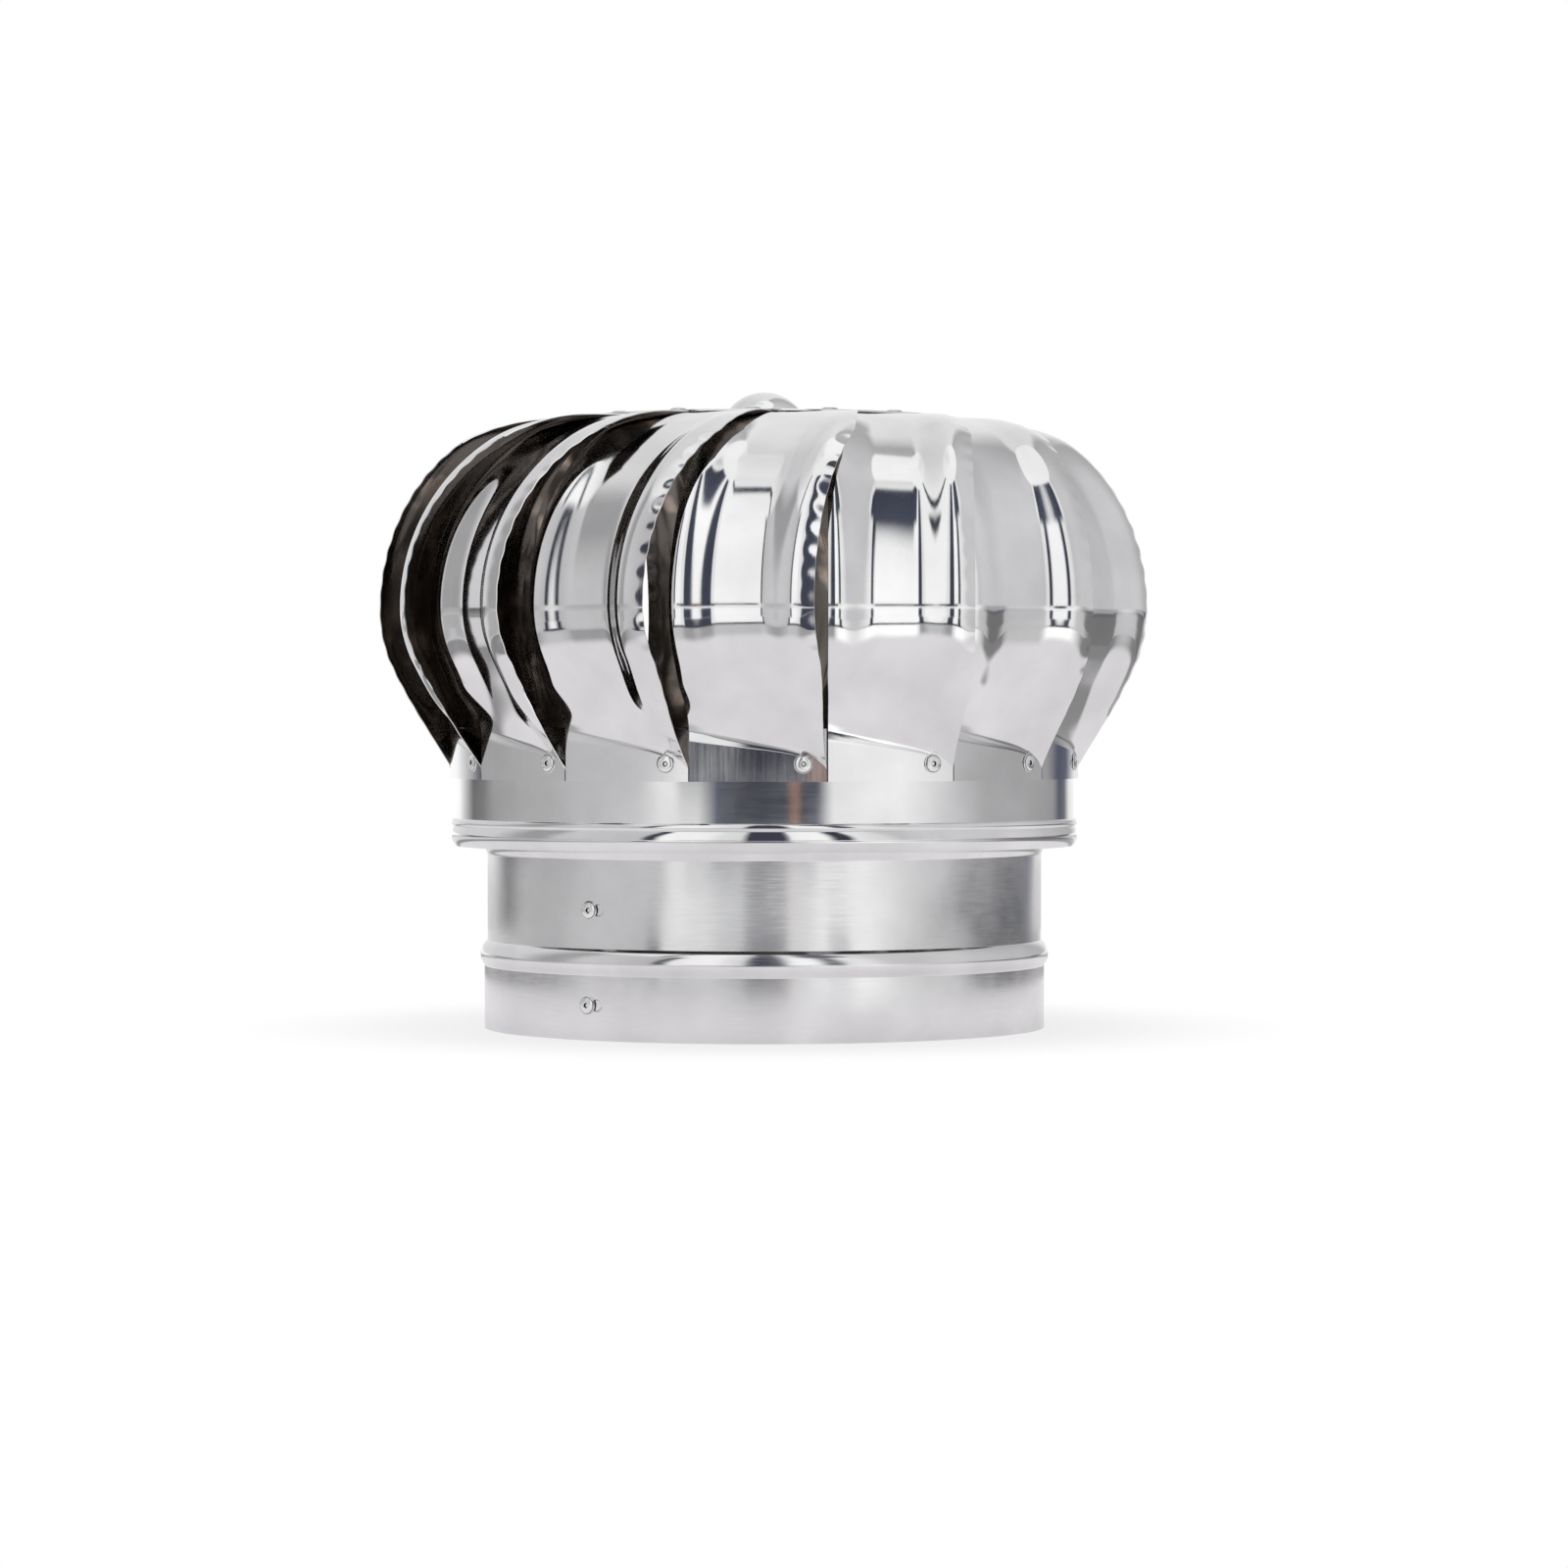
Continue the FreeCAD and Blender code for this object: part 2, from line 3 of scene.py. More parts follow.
import bpy
import numpy as np
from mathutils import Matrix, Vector


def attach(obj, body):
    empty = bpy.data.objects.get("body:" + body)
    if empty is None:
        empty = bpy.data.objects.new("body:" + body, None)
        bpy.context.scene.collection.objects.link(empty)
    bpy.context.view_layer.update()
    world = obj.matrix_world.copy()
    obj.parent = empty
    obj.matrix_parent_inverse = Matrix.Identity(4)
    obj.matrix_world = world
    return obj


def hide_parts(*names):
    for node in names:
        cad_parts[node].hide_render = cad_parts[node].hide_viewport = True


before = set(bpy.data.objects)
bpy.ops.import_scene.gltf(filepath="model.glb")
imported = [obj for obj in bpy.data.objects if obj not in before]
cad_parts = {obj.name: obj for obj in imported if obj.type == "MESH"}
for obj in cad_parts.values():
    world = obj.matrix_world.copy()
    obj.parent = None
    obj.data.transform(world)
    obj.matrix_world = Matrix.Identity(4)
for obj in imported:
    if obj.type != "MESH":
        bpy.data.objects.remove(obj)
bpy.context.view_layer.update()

# The cowl's sizes in millimetres, azimuths in degrees from -Y towards +X
MM = 0.001
sheet = 0.6
bend_support = 0.5
round_segments = 360
pole_radius = 0.01
sharp_angle = 38.0

# Fixed collar: a socket below its bead, then a narrower neck with a low band
collar_radius = 150.0
collar_height = 118.0
socket_depth = 33.7
bead_width = 13.3
bead_rise = 2.1
bead_segments = 14
neck_radius = 148.4
band_bottom = 93.0
band_width = 10.0
band_rise = 1.2
band_segments = 10
lap_start = -45.4
lap_run = 60.0
lap_gap = 0.02

# Seam rivets, the slot pressed beside each, and the finer mesh that the slots need
seam_rivet_azimuth = -37.1
seam_rivet_heights = (18.0, 66.8)
seam_slot_width = 5.6
seam_slot_reach = 8.8
slot_edge = 0.4
slot_lead = 1.3
slot_column_turn = 0.1
slot_columns = 56
slot_drop = 3.3
slot_row_step = 0.3
slot_rows = 23

# Rivets that hold the braces inside the collar
brace_rivet_azimuths = (20.0, 110.0, 200.0, 290.0)
brace_rivet_height = 110.0
brace_rivet_seat = 0.1

# Turning ring: a plain band above a ridge and a rolled foot
ring_radius = 166.3
ring_foot = 97.3
ring_foot_draw = 0.9
ring_roll_top = 108.0
ring_ridge_top = 112.1
ring_top = 160.0
ring_crest = 1.3
ring_waist = 0.3
roll_segments = 14
ridge_segments = 8

# Vane strip: reach is its distance out from the axis, edges are measured across the strip
vane_count = 15
vane_pitch = 360.0 / vane_count
vane_azimuth = -18.9
vane_sheet = 0.5
vane_reach = 185.7
vane_equator = 223.0
lower_radius = 62.0
lower_angle = 26.667
upper_radius = 101.0
vane_tab = 20.0
tip_reach = vane_reach - upper_radius - vane_tab
inner_edge = 15.0
outer_edge = 89.6
edge_lean = 0.087
tip_inner_edge = 50.5
tip_outer_edge = 72.0
taper_reach = 134.0

# Ribs of a vane, which rise on the turn off the ring and fade near the tip, and the sink beside them
rib_centres = (18.5, 79.0)
rib_widths = (40.0, 38.0)
rib_heights = (6.0, 5.0)
rib_start = 0.12
rib_run_in = 0.6
rib_end = 86.0
rib_run_out = 30.0
sink_depth = 2.0
sink_start = 34.0
sink_end = 62.0

# Crimp of a vane's outer edge; its slow waves are share, radians a millimetre and phase
crimp_width = 7.0
crimp_rise = 0.22
crimp_pitch = 11.8
crimp_slow_waves = ((0.25, 0.11, 0.0), (0.2, 0.043, 1.0))

# Tab of a vane on the ring, and the slanted fold above it
tab_bottom = 133.3
tab_start = -13.0
tab_angle = 23.8
tab_seat = 0.13
tab_spring = 1.44
tab_rivet_azimuth = 6.7
tab_rivet_height = 142.3
fold_start = 158.0
fold_slope = 9.0
fold_corner = 9.3
fold_bend = 8
turn_pull = 0.5

# Mesh of a vane: columns across it, rows up its tab, turn, lower arc and upper arc, then its tip
vane_columns = 49
tab_rows = 5
turn_rows = 24
lower_rows = 24
upper_rows = 97
tip_shares = (0.33, 0.66, 1.0)

# Top plate and hub cap
plate_radius = 105.95
plate_thickness = 1.0
plate_bore = 13.0
plate_bevel = 0.3
plate_segments = 240
vane_top = vane_equator + upper_radius
plate_top = vane_top + plate_thickness
cap_height = 15.0
cap_radius = 22.0
cap_brim = 34.0
cap_sheet = 1.0
cap_segments = 128
cap_outer_rows = 18
cap_inner_rows = 12
hub_rivet_circle = 27.0
hub_rivet_azimuths = (45.0, 135.0, 225.0, 315.0)

# Blind rivet: a domed head with a hole, the broken pin in the hole, and a short shank
rivet_head = 9.6
rivet_head_height = 1.6
rivet_edge_height = 0.35
rivet_dome_radius_share = 0.68
rivet_dome_height_share = 0.84
rivet_hole = 2.65
rivet_hole_floor = 0.3
rivet_rim = 0.25
rivet_rim_drop = 0.2
rivet_pin = 1.9
rivet_pin_height = 0.9
rivet_pin_shoulder = 0.75
rivet_pin_flat_share = 0.7
rivet_shank = 4.8
rivet_shank_depth = 0.6
rivet_segments = 28
rivet_dome_segments = 8

# Bands of the rivet's profile painted dark as shade: the pin's side, the hole, and a line near the rim
rivet_painted_shade_rows = (2, 3, 4, 12)

# The camera, worked out from the photograph: distance and height in metres
camera_distance = 2.668
camera_height = 0.1668
camera_limit = 60.0
focal_pixels = 5070.0
image_pixels = 1600.0
horizon_pixel = 730.0
axis_pixel = 780.0
sensor_mm = 36.0

# Finish of the steel and its painted glints: noises per metre, and the part of each noise that is used
haze_scale = 26.0
haze_detail = 5.0
tone_span = (0.35, 0.7)
tone_dark_share = 0.86
rough_span = (0.3, 0.75)
rough_least_share = 0.75
rough_most_share = 1.3
glint_scale = 42.0
glint_detail = 2.0
glint_span = (0.55, 0.68)
wave_scale = 17.0
wave_detail = 1.0
line_scale = 1.0
line_detail = 3.0
line_span = (0.3, 0.7)
line_rough = 0.1
line_depth = 0.004

# Ground: its size and the shadow round the cowl in metres
ground_radius = 1.25
ground_step = 3
ground_grey = 0.93
ground_rough = 0.9
shadow_start = 0.15
shadow_end = 0.30
shadow_glow = 0.72

# Tints of the surroundings, by how bright a place is
WHITE = (1.0, 1.0, 1.0)
PALE = (1.0, 0.985, 1.0)
BLUISH = (0.82, 0.9, 1.3)
BROWN = (1.7, 0.9, 0.6)
COOL = (0.94, 0.97, 1.07)
pale_limit = 0.8
dark_limit = 0.2
table_colour = (0.84, 0.82, 0.835, 1.0)

# Walls that the steel reflects: stops of azimuth, brightness and at times a tint, shared runs first
BACK_LEFT = ((-180, 0.9), (-142, 0.75), (-118, 0.75))
LEFT = ((-80, 0.68), (-62, 0.66), (-46, 0.6), (-43.5, 0.05), (-40.5, 0.05), (-38.5, 1.1))
FRONT = ((-20, 1.1), (-16, 0.95), (-8, 0.9), (-6, 0.07), (8, 0.07), (10, 1.15))
RIGHT = ((23, 1.15), (26, 0.06), (31, 0.06), (34, 1), (44, 0.9))
BACK_RIGHT = ((78, 0.72), (104, 0.7), (154, 0.5), (166, 0.9), (180, 0.9))
ROOM_TOP = ((-180, 1.1), (-132, 0.9), (-52, 1.1), (180, 1.1))
ROOM_UPPER = (((-180, 0.9), (-142, 0.8), (-108, 0.8), (-66, 1.0), (-57, 1.05),
               (-54, 0.05), (-51, 0.05), (-48.5, 1.1)) + FRONT
              + ((16, 1.1), (22, 0.1), (43, 0.06), (46, 1), (52, 0.9), (60, 0.68)) + BACK_RIGHT)
ROOM_HIGH = (BACK_LEFT + ((-100, 0.42), (-88, 0.42)) + LEFT + FRONT + RIGHT
             + ((52, 0.68),) + BACK_RIGHT)
ROOM_NEAR = (BACK_LEFT + ((-100, 0.5), (-88, 0.5)) + LEFT + FRONT + RIGHT
             + ((54, 0.68), (84, 0.6), (98, 0.22), (130, 0.2), (148, 0.5), (166, 0.9)))

# The strips beside the horizon, seen by the vanes' tabs and by the ring below them
LOW_BACK_LEFT = ((-180, 1.15), (-154, 1.05), (-142, 0.5))
LOW_LEFT = ((-118, 0.42), (-96, 0.5), (-66, 0.58), (-46, 0.68), (-38, 0.9))
LOW_RIGHT = ((50, 1.05), (70, 0.75), (88, 0.5), (112, 0.45), (134, 0.36))
LOW_BACK_RIGHT = ((154, 0.9), (180, 1.15))
ROOM_LOW = (LOW_BACK_LEFT + ((-136, 0.13), (-126, 0.2)) + LOW_LEFT
            + ((-33, 0.9), (-30, 0.03), (7, 0.03), (10, 0.16, BROWN), (13, 0.03), (20, 0.03), (24, 0.95))
            + LOW_RIGHT + ((140, 0.12), (147, 0.14)) + LOW_BACK_RIGHT)
ROOM_FOOT = (LOW_BACK_LEFT + ((-136, 0.2), (-126, 0.25)) + LOW_LEFT
             + ((-24, 0.9), (-17, 0.12), (-9, 0.05), (8, 0.06), (11, 0.2, BROWN), (14, 0.06),
                (19, 0.1), (25, 0.95))
             + LOW_RIGHT + ((140, 0.14), (147, 0.2)) + LOW_BACK_RIGHT)

# The strip seen by the collar's neck, and the rings of the ground, painted light and dark in its glow
ROOM_NECK = ((-180, 0.75), (-150, 0.65), (-132, 0.28), (-120, 0.48), (-96, 0.58), (-60, 0.62),
             (-46, 0.7), (-38, 0.96), (-12, 1.0), (0, 0.92), (12, 1.08), (24, 1.2), (42, 1.12),
             (60, 0.75), (84, 0.42), (96, 0.19, COOL), (132, 0.15, COOL), (140, 0.3, COOL),
             (150, 0.65), (180, 0.75))
GROUND_SILL = ((-180, 0.65), (-52, 0.6), (-44, 0.05), (32, 0.05), (38, 0.7), (86, 0.6),
               (98, 0.22), (136, 0.2), (148, 0.6), (180, 0.65))
GROUND_TABLE = ((-180, 0.6), (-140, 0.34), (-84, 0.3), (-40, 0.65), (-16, 0.6), (-5, 0.4),
                (5, 0.4), (12, 0.85), (22, 1.3), (38, 1.3), (54, 0.9), (84, 0.28), (110, 0.25),
                (140, 0.45), (180, 0.6))

# Where each band of the room begins and is full, as the Z of a direction, from below up
ROOM_BANDS = (
    (-0.22, -0.18, ROOM_NEAR),
    (-0.062, -0.054, ROOM_NECK),
    (-0.03, -0.026, ROOM_FOOT),
    (-0.0135, -0.0115, ROOM_LOW),
    (0.008, 0.012, ROOM_HIGH),
    (0.72, 0.8, ROOM_UPPER),
    (0.955, 0.965, ROOM_TOP),
)

# The same for the ground, as metres from the axis
GROUND_BANDS = (
    (0.5, 0.62, GROUND_TABLE),
    (0.80, 0.82, GROUND_SILL),
    (0.87, 0.90, ROOM_NEAR),
)


# Node helpers

def node(tree, kind, **values):
    made = tree.nodes.new(kind)
    for key, value in values.items():
        setattr(made, key, value)
    return made


def feed(tree, target, source):
    """Puts a number, a colour or another node's output into a socket."""
    if isinstance(source, bpy.types.NodeSocket):
        tree.links.new(source, target)
    else:
        target.default_value = source


def math_node(tree, operation, a, b=0.0, c=0.0):
    made = node(tree, "ShaderNodeMath", operation=operation)
    feed(tree, made.inputs[0], a)
    feed(tree, made.inputs[1], b)
    feed(tree, made.inputs[2], c)
    return made.outputs[0]


def step_node(tree, value, low, high):
    """Zero below low, one above high, smooth between them."""
    made = node(tree, "ShaderNodeMapRange", interpolation_type="SMOOTHSTEP")
    feed(tree, made.inputs["Value"], value)
    made.inputs["From Min"].default_value = low
    made.inputs["From Max"].default_value = high
    return made.outputs["Result"]


def range_node(tree, value, span, to_low=0.0, to_high=1.0):
    """Stretches the span of a value to a new lowest and highest number."""
    made = node(tree, "ShaderNodeMapRange")
    feed(tree, made.inputs["Value"], value)
    made.inputs["From Min"].default_value = span[0]
    made.inputs["From Max"].default_value = span[1]
    made.inputs["To Min"].default_value = to_low
    made.inputs["To Max"].default_value = to_high
    return made.outputs["Result"]


def mix_node(tree, factor, a, b):
    made = node(tree, "ShaderNodeMix", data_type="RGBA")
    feed(tree, made.inputs["Factor"], factor)
    feed(tree, made.inputs["A"], a)
    feed(tree, made.inputs["B"], b)
    return made.outputs["Result"]


def noise_node(tree, place, scale, detail):
    made = node(tree, "ShaderNodeTexNoise")
    made.inputs["Scale"].default_value = scale
    made.inputs["Detail"].default_value = detail
    feed(tree, made.inputs["Vector"], place)
    return made.outputs["Fac"]


def bump_node(tree, height, distance, normal=None):
    made = node(tree, "ShaderNodeBump")
    made.inputs["Strength"].default_value = 1.0
    made.inputs["Distance"].default_value = distance
    feed(tree, made.inputs["Height"], height)
    if normal is not None:
        feed(tree, made.inputs["Normal"], normal)
    return made.outputs["Normal"]


def ramp_node(tree, value, stops):
    made = node(tree, "ShaderNodeValToRGB")
    feed(tree, made.inputs["Fac"], value)
    elements = made.color_ramp.elements
    while len(elements) > 1:
        elements.remove(elements[-1])
    for index, (place, colour) in enumerate(stops):
        element = elements[0] if index == 0 else elements.new(place)
        element.position = place
        element.color = colour
    return made.outputs["Color"]


def shade(value, tint=WHITE):
    return (value * tint[0], value * tint[1], value * tint[2], 1.0)


# Surroundings

def azimuth_node(tree, parts):
    """Share of a full turn, a half for -Y and growing towards +X, of a vector's x and y."""
    forward = math_node(tree, "MULTIPLY", parts.outputs["Y"], -1.0)
    angle = math_node(tree, "ARCTAN2", parts.outputs["X"], forward)
    return math_node(tree, "MULTIPLY_ADD", angle, 0.5 / math.pi, 0.5)


def usual_tint(value):
    if value < dark_limit:
        return BLUISH
    return PALE if value < pale_limit else WHITE


def round_ramp(tree, turn, stops):
    """Colours round the cowl, from stops in degrees."""
    painted = []
    for degrees, value, *tint in stops:
        colour = shade(value, tint[0] if tint else usual_tint(value))
        painted.append(((degrees + 180.0) / 360.0, colour))
    return ramp_node(tree, turn, painted)


def banded(tree, turn, place, lowest, bands):
    """The lowest colour, then each band's own colours from where the band begins."""
    colour = lowest
    for begin, full, stops in bands:
        share = step_node(tree, place, begin, full)
        colour = mix_node(tree, share, colour, round_ramp(tree, turn, stops))
    return colour


def make_world():
    world = bpy.data.worlds.new("studio")
    bpy.context.scene.world = world
    world.use_nodes = True
    tree = world.node_tree
    background = tree.nodes["Background"]
    parts = node(tree, "ShaderNodeSeparateXYZ")
    feed(tree, parts.inputs[0], node(tree, "ShaderNodeTexCoord").outputs["Generated"])
    room = banded(tree, azimuth_node(tree, parts), parts.outputs["Z"], table_colour, ROOM_BANDS)
    seen = node(tree, "ShaderNodeLightPath").outputs["Is Camera Ray"]
    feed(tree, background.inputs["Color"], mix_node(tree, seen, room, shade(1.0)))
    background.inputs["Strength"].default_value = 1.0


def floor_material():
    """White ground with a faint shadow round the cowl; except to camera and transmission rays it glows in
    painted light and dark rings, which the steel sees as a partly dark table.
    """
    material = bpy.data.materials.new("ground")
    material.use_nodes = True
    tree = material.node_tree
    shader = tree.nodes["Principled BSDF"]
    shader.inputs["Base Color"].default_value = shade(ground_grey)
    shader.inputs["Roughness"].default_value = ground_rough
    place = node(tree, "ShaderNodeTexCoord").outputs["Object"]
    parts = node(tree, "ShaderNodeSeparateXYZ")
    feed(tree, parts.inputs[0], place)
    length = node(tree, "ShaderNodeVectorMath", operation="LENGTH")
    feed(tree, length.inputs[0], place)
    reach = length.outputs["Value"]
    table = banded(tree, azimuth_node(tree, parts), reach, table_colour, GROUND_BANDS)
    # Except to camera and transmission rays the ground glows in the painted rings: a painted reflection
    # of a table
    glow = node(tree, "ShaderNodeEmission")
    path = node(tree, "ShaderNodeLightPath")
    seen = math_node(tree, "MAXIMUM", path.outputs["Is Camera Ray"], path.outputs["Is Transmission Ray"])
    feed(tree, glow.inputs["Color"], mix_node(tree, seen, table, shade(1.0)))
    blend = node(tree, "ShaderNodeMixShader")
    away = step_node(tree, reach, shadow_start, shadow_end)
    feed(tree, blend.inputs["Fac"], range_node(tree, away, (0.0, 1.0), shadow_glow, 1.0))
    tree.links.new(shader.outputs["BSDF"], blend.inputs[1])
    tree.links.new(glow.outputs["Emission"], blend.inputs[2])
    tree.links.new(blend.outputs["Shader"], tree.nodes["Material Output"].inputs["Surface"])
    return material


def make_floor():
    points = [on_circle(ground_radius, azimuth, 0.0) for azimuth in range(0, 360, ground_step)]
    mesh = bpy.data.meshes.new("ground")
    mesh.from_pydata([tuple(point) for point in points], [], [tuple(range(len(points)))])
    mesh.materials.append(floor_material())
    ground = bpy.data.objects.new("ground", mesh)
    bpy.context.scene.collection.objects.link(ground)


def make_camera():
    data = bpy.data.cameras.new("photo_camera")
    data.sensor_width = sensor_mm
    data.lens = focal_pixels * sensor_mm / image_pixels
    data.clip_end = camera_limit
    camera = bpy.data.objects.new("photo_camera", data)
    camera.location = (0.0, -camera_distance, camera_height)
    middle = image_pixels / 2.0
    down = math.atan((middle - horizon_pixel) / focal_pixels)
    right = math.atan((middle - axis_pixel) / focal_pixels)
    camera.rotation_euler = (math.pi / 2.0 - down, 0.0, -right)
    bpy.context.scene.collection.objects.link(camera)
    bpy.context.scene.camera = camera


# Metals

def steel(name, colour, rough, wave=0.0, streak=0.0, streak_scale=(1.0, 1.0, 1.0),
          smudge=0.0, glint=None):
    """Stainless sheet: tint, haze, slow waviness of the sheet and fine drawn lines, and painted glints
    where a glint colour is given.
    """
    material = bpy.data.materials.new(name)
    material.use_nodes = True
    tree = material.node_tree
    shader = tree.nodes["Principled BSDF"]
    shader.inputs["Metallic"].default_value = 1.0
    place = node(tree, "ShaderNodeTexCoord").outputs["Object"]
    drawn_place = node(tree, "ShaderNodeMapping")
    drawn_place.inputs["Scale"].default_value = streak_scale
    feed(tree, drawn_place.inputs["Vector"], place)
    haze = noise_node(tree, place, haze_scale, haze_detail)
    lines = noise_node(tree, drawn_place.outputs["Vector"], line_scale, line_detail)
    slow = noise_node(tree, place, wave_scale, wave_detail)

    tone = range_node(tree, haze, tone_span)
    tone = mix_node(tree, tone, shade(tone_dark_share, colour), shade(1.0, colour))
    # Lighter spots in the colour where a glint colour is given: painted glints
    if glint:
        spots = noise_node(tree, place, glint_scale, glint_detail)
        tone = mix_node(tree, range_node(tree, spots, glint_span), tone, glint)
    feed(tree, shader.inputs["Base Color"], tone)

    most_rough = rough * rough_most_share + smudge
    hazed = range_node(tree, haze, rough_span, rough * rough_least_share, most_rough)
    lined = range_node(tree, lines, line_span, 0.0, streak * line_rough)
    feed(tree, shader.inputs["Roughness"], math_node(tree, "ADD", hazed, lined))

    waved = bump_node(tree, slow, wave * MM)
    drawn = bump_node(tree, lines, streak * line_depth * MM, waved)
    feed(tree, shader.inputs["Normal"], drawn)
    return material


def make_metals():
    stainless = (0.86, 0.86, 0.865)
    return {
        "vane": steel("polished_sheet", stainless, rough=0.06, wave=0.3, streak=0.25,
                      streak_scale=(900.0, 900.0, 30.0)),
        # The vanes' inner faces: the same steel painted dark as shade between the vanes, with painted
        # brown glints
        "vane_inside": steel("sheet_inside_painted_shade", (0.2, 0.18, 0.16), rough=0.2, wave=0.6,
                             glint=(0.5, 0.42, 0.35, 1.0)),
        "ring": steel("band_sheet", stainless, rough=0.05, wave=0.06, streak=0.12,
                      streak_scale=(40.0, 40.0, 1200.0)),
        "collar": steel("collar_sheet", stainless, rough=0.085, wave=0.3, streak=0.5,
                        streak_scale=(60.0, 60.0, 1500.0), smudge=0.05),
        "rivet": steel("rivet_metal", (0.9, 0.9, 0.9), rough=0.2),
        # Dark metal for the shade painted on the rivets: the pin's side, the hole and a line near the rim
        "recess": steel("recess_metal", (0.13, 0.125, 0.12), rough=0.4),
        "bar": steel("bar_metal", (0.55, 0.54, 0.53), rough=0.32, wave=0.02),
        "ground_steel": steel("ground_metal", (0.6, 0.6, 0.61), rough=0.18),
        "zinc": steel("nut_metal", (0.58, 0.58, 0.56), rough=0.3),
    }


# Mesh helpers

def new_object(name, points, faces, materials, indices=None):
    mesh = bpy.data.meshes.new(name)
    mesh.from_pydata([tuple(point) for point in points], [], faces)
    for material in materials:
        mesh.materials.append(material)
    if indices is not None:
        mesh.polygons.foreach_set("material_index", indices)
    mesh.polygons.foreach_set("use_smooth", [True] * len(mesh.polygons))
    mesh.set_sharp_from_angle(angle=math.radians(sharp_angle))
    mesh.validate()
    mesh.update()
    made = bpy.data.objects.new(name, mesh)
    bpy.context.scene.collection.objects.link(made)
    return made


def smooth(share):
    share = np.clip(share, 0.0, 1.0)
    return share * share * (3.0 - 2.0 * share)


def on_circle(radius, azimuth, height):
    angle = math.radians(azimuth)
    return Vector((radius * math.sin(angle), -radius * math.cos(angle), height))


def turned(points, azimuth):
    """Points turned about the axis, from -Y towards +X."""
    angle = math.radians(azimuth)
    cos = math.cos(angle)
    sin = math.sin(angle)
    x = points[..., 0] * cos - points[..., 1] * sin
    y = points[..., 0] * sin + points[..., 1] * cos
    return np.stack([x, y, points[..., 2]], axis=-1)


def bow(a, middle, b, count):
    """Points on the circle through three points, from a to b."""
    ax, az = a
    mx, mz = middle
    bx, bz = b
    d = 2.0 * (ax * (mz - bz) + mx * (bz - az) + bx * (az - mz))
    cx = ((ax**2 + az**2) * (mz - bz) + (mx**2 + mz**2) * (bz - az) + (bx**2 + bz**2) * (az - mz)) / d
    cz = ((ax**2 + az**2) * (bx - mx) + (mx**2 + mz**2) * (ax - bx) + (bx**2 + bz**2) * (mx - ax)) / d
    radius = math.hypot(ax - cx, az - cz)
    start = math.atan2(az - cz, ax - cx)
    end = math.atan2(bz - cz, bx - cx)
    halfway = math.atan2(mz - cz, mx - cx)
    full = 2.0 * math.pi
    sweep = (end - start) % full
    if (halfway - start) % full > sweep:
        sweep -= full
    angles = [start + sweep * index / count for index in range(count + 1)]
    return [(cx + radius * math.cos(angle), cz + radius * math.sin(angle)) for angle in angles]


def round_azimuths(segments):
    return [lap_start + 360.0 * index / segments for index in range(segments)]


def lathe(name, profile, azimuths, materials, lift=None):
    """Revolves a closed profile of radius and height; lift(azimuth, index, height) moves it outward."""
    count = len(profile)
    points = []
    for azimuth in azimuths:
        for index, (radius, height) in enumerate(profile):
            extra = lift(azimuth, index, height) if lift is not None else 0.0
            points.append(on_circle(radius + extra, azimuth, height) * MM)
    faces = []
    total = len(azimuths)
    for ring in range(total):
        after = (ring + 1) % total
        for index in range(count):
            following = (index + 1) % count
            faces.append((ring * count + index, after * count + index,
                          after * count + following, ring * count + following))
    return new_object(name, points, faces, materials)


def inner_face(outer, thickness):
    """The same profile one sheet further in, in the opposite order."""
    return [(radius - thickness, height) for radius, height in reversed(outer)]


# Fixed collar

def slot_depth_share(azimuth, height):
    """One inside a slot beside a seam rivet, zero outside."""
    across = math.radians(azimuth - seam_rivet_azimuth) * collar_radius
    straight = seam_slot_reach - seam_slot_width / 2.0
    beyond = across - min(max(across, 0.0), straight)
    share = 0.0
    for rivet_height in seam_rivet_heights:
        distance = math.hypot(beyond, height - rivet_height)
        share = max(share, float(smooth((seam_slot_width / 2.0 - distance) / slot_edge + 0.5)))
    return share


def collar_azimuths():
    """Every degree round the collar, and finer beside the seam rivets."""
    fine = [seam_rivet_azimuth - slot_lead + slot_column_turn * index for index in range(slot_columns)]
    edges = [lap_start + lap_gap, lap_start + 360.0 - lap_gap]
    low = fine[0] - slot_column_turn / 2.0
    high = fine[-1] + slot_column_turn / 2.0
    coarse = [azimuth for azimuth in round_azimuths(round_segments)[1:] if not low < azimuth < high]
    return sorted(fine + edges + coarse)


def raised(low, crest, high, segments):
    """A rounded bead of the sheet, with a short straight run below and above it."""
    before = (low[0], low[1] - bend_support)
    after = (high[0], high[1] + bend_support)
    return [before] + bow(low, crest, high, segments) + [after]


def slot_heights(centre):
    return [centre - slot_drop + slot_row_step * index for index in range(slot_rows)]


def make_collar(material):
    bead_crest = (collar_radius + bead_rise, socket_depth + bead_width / 2.0)
    bead = raised((collar_radius, socket_depth), bead_crest,
                  (neck_radius, socket_depth + bead_width), bead_segments)
    band_crest = (neck_radius + band_rise, band_bottom + band_width / 2.0)
    band = raised((neck_radius, band_bottom), band_crest,
                  (neck_radius, band_bottom + band_width), band_segments)
    foot = [(collar_radius, 0.0)]
    top = [(neck_radius, collar_height)]
    low, high = seam_rivet_heights
    socket_rows = [(collar_radius, height) for height in slot_heights(low)]
    neck_rows = [(neck_radius, height) for height in slot_heights(high)]
    outer = foot + socket_rows + bead + neck_rows + band + top
    profile = outer + inner_face(foot + bead + band + top, sheet)

    def lap(azimuth, index, height):
        if index >= len(outer):
            return 0.0
        share = max(0.0, 1.0 - (azimuth - lap_start) / lap_run)
        return sheet * share * (1.0 - slot_depth_share(azimuth, height))

    collar = lathe("collar_shell", profile, collar_azimuths(), [material], lap)
    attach(collar, "base")
    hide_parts("base_collar")


# Turning ring

